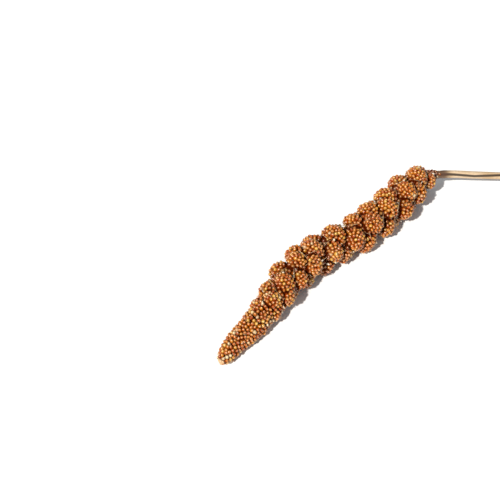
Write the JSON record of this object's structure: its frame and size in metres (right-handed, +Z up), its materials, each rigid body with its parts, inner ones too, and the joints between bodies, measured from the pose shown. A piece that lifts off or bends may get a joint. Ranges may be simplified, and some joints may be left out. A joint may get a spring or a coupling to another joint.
{
  "type": "millet seed head",
  "caption": "Dried foxtail millet seed head lying on its side: a tapering, lobed spike covered in small round grains, with its cut straw stem.",
  "frame": {"origin": "centre of the box round the whole part, on the surface that it lies on", "axes": "+X from the head's tip towards its stem, along the longest extent; +Z up, away from the surface; the stem bends off towards -Y"},
  "size_m": [0.2298, 0.0942, 0.0212],
  "materials": {
    "grain": "glossy hulled grains, orange to red brown, with pale husks between them",
    "straw": "dry ribbed straw with a slight shine"
  },
  "bodies": {
    "root": {"seed_head": "grain", "stem": "straw"}
  },
  "joints": []
}
